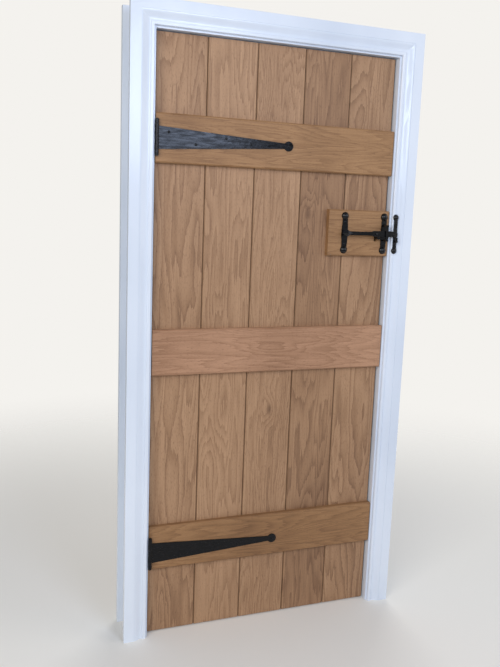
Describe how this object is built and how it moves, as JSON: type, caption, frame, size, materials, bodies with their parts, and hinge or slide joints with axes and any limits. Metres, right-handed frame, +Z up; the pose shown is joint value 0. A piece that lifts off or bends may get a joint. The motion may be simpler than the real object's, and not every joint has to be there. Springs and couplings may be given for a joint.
{
  "type": "ledged wooden door in a lining",
  "caption": "Ledged oak cottage door with tee hinges and a ball-end thumb latch, hung in a painted lining with moulded architraves on both faces.",
  "frame": {"origin": "floor level, under the middle of the opening and halfway through the whole depth", "axes": "+X along the wall towards the latch side, +Y into the wall away from the side that shows the hinges, +Z up"},
  "size_m": [1.008, 0.165, 2.072],
  "materials": {
    "white_gloss": "white gloss paint on softwood, brushed",
    "oiled_oak": "oiled oak, planed, open grain",
    "black_iron": "black waxed forged iron, lightly hammered",
    "black_screws": "black japanned screws"
  },
  "bodies": {
    "frame": {"hinge_jamb": "white_gloss", "lock_jamb": "white_gloss", "lining_head": "white_gloss", "hinge_stop": "white_gloss", "lock_stop": "white_gloss", "head_stop": "white_gloss", "front_architrave_hinge_side": "white_gloss", "front_architrave_head": "white_gloss", "front_architrave_lock_side": "white_gloss", "rear_architrave_hinge_side": "white_gloss", "rear_architrave_head": "white_gloss", "rear_architrave_lock_side": "white_gloss", "top_hinge_plate": "black_iron", "bottom_hinge_plate": "black_iron", "top_hinge_pin": "black_iron", "bottom_hinge_pin": "black_iron", "top_plate_screws": "black_screws", "bottom_plate_screws": "black_screws", "latch_catch": "black_iron", "catch_screws": "black_screws"},
    "leaf": {"board_1": "oiled_oak", "board_2": "oiled_oak", "board_3": "oiled_oak", "board_4": "oiled_oak", "board_5": "oiled_oak", "bottom_ledge": "oiled_oak", "middle_ledge": "oiled_oak", "top_ledge": "oiled_oak", "latch_block": "oiled_oak", "top_hinge_strap": "black_iron", "bottom_hinge_strap": "black_iron", "top_strap_screws": "black_screws", "bottom_strap_screws": "black_screws", "latch_pivot_plate": "black_iron", "latch_keeper": "black_iron", "latch_screws": "black_screws", "pull_handle": "black_iron", "handle_screws": "black_screws", "lever_pin": "black_iron", "ledge_nails": "black_screws"},
    "latch_bar": {"latch_bar": "black_iron"},
    "thumb_lever": {"thumb_lever": "black_iron"}
  },
  "joints": [
    {"name": "door_swing", "type": "hinge", "parent": "frame", "child": "leaf", "pos_m": [-0.416, -0.057, 0.985], "axis": [0, 0, -1], "range_deg": [0, 115]},
    {"name": "bar_lift", "type": "hinge", "parent": "leaf", "child": "latch_bar", "pos_m": [0.248, -0.071, 1.392], "axis": [0, -1, 0], "range_deg": [-3, 5]},
    {"name": "thumb_press", "type": "hinge", "parent": "leaf", "child": "thumb_lever", "pos_m": [0.37, -0.0015, 1.3772], "axis": [-1, 0, 0], "range_deg": [-5.3, 8.8]}
  ],
  "couplings": [
    {"joint": "thumb_press", "follows": "bar_lift", "ratio": 1.7529}
  ]
}
